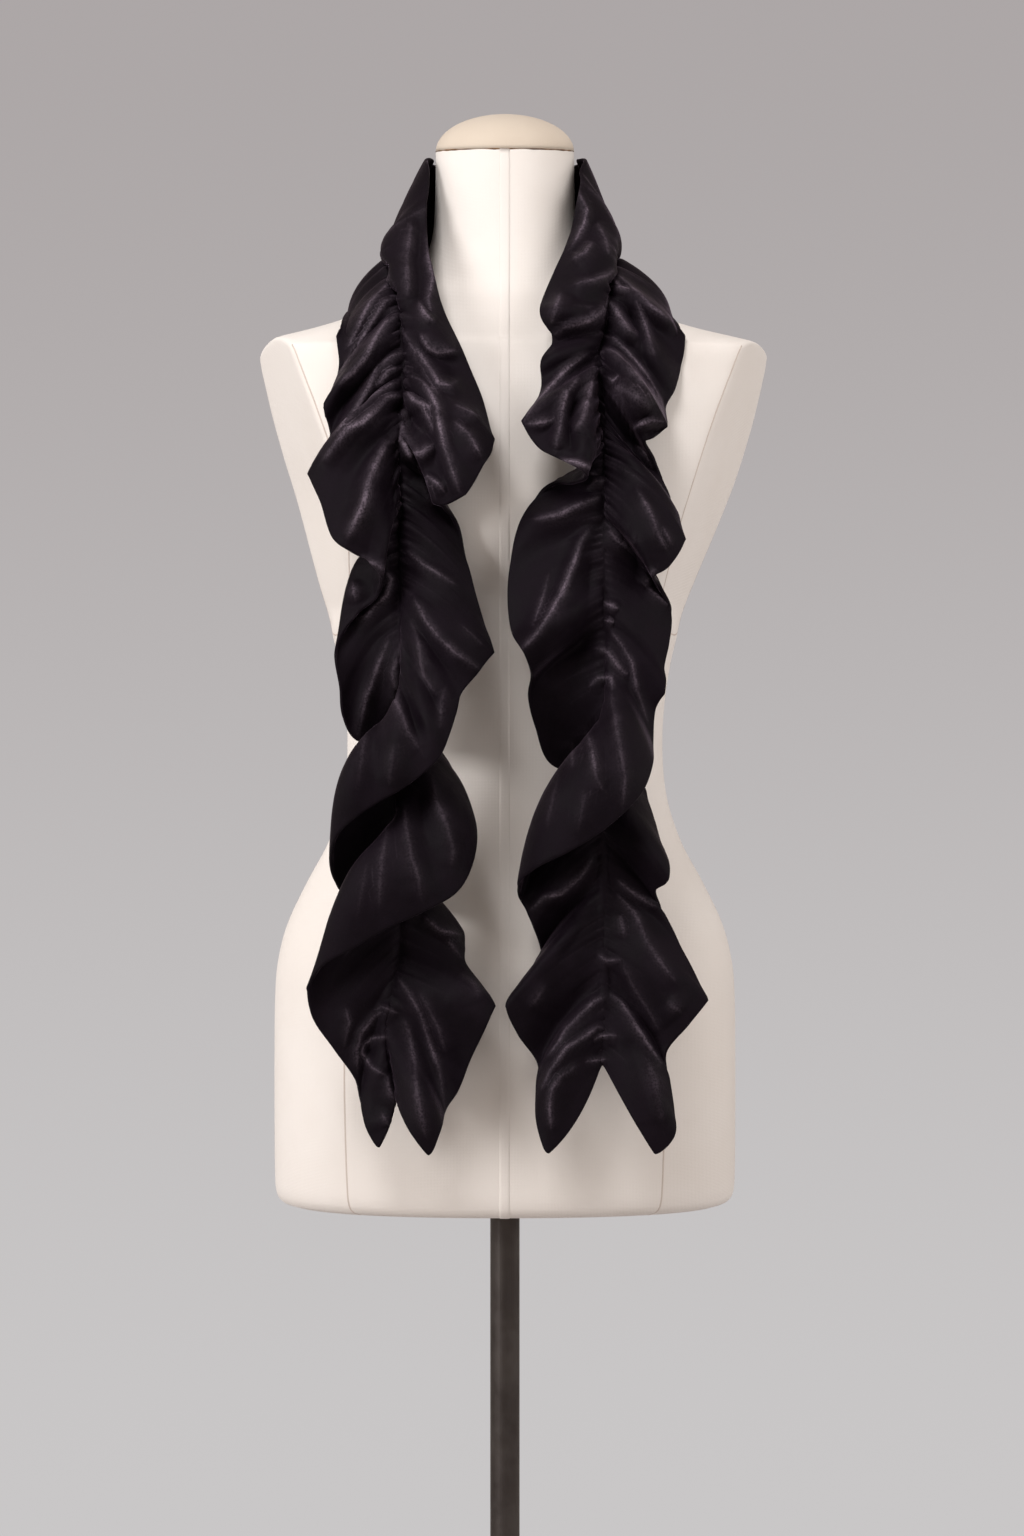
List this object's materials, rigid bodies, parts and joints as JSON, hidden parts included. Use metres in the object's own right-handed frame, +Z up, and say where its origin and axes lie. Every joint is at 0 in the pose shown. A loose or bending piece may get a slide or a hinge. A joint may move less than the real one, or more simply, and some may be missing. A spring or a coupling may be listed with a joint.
{
  "type": "ruffled velvet scarf on a limbless dress form",
  "caption": "Long velvet scarf gathered down its middle into ruffles, hung round the neck of a padded limbless dress form on a pole with a round base.",
  "frame": {"origin": "centre of the base's underside, on the floor", "axes": "+Z up along the pole, -Y out of the front of the form, +X to the viewer's right when seen from the front"},
  "size_m": [0.4, 0.4033, 1.6008],
  "materials": {
    "velvet": "black velvet with a soft sheen",
    "cover": "cream jersey cover, matt",
    "cap_cover": "warm cream cloth, matt",
    "pole_metal": "satin dark bronze",
    "base_metal": "satin dark bronze"
  },
  "bodies": {
    "root": {"form_base": "base_metal", "form_pole": "pole_metal", "form_torso": "cover", "form_neck_cap": "cap_cover", "scarf_neck": "velvet", "scarf_right_fall": "velvet", "scarf_left_fall": "velvet"}
  },
  "joints": []
}
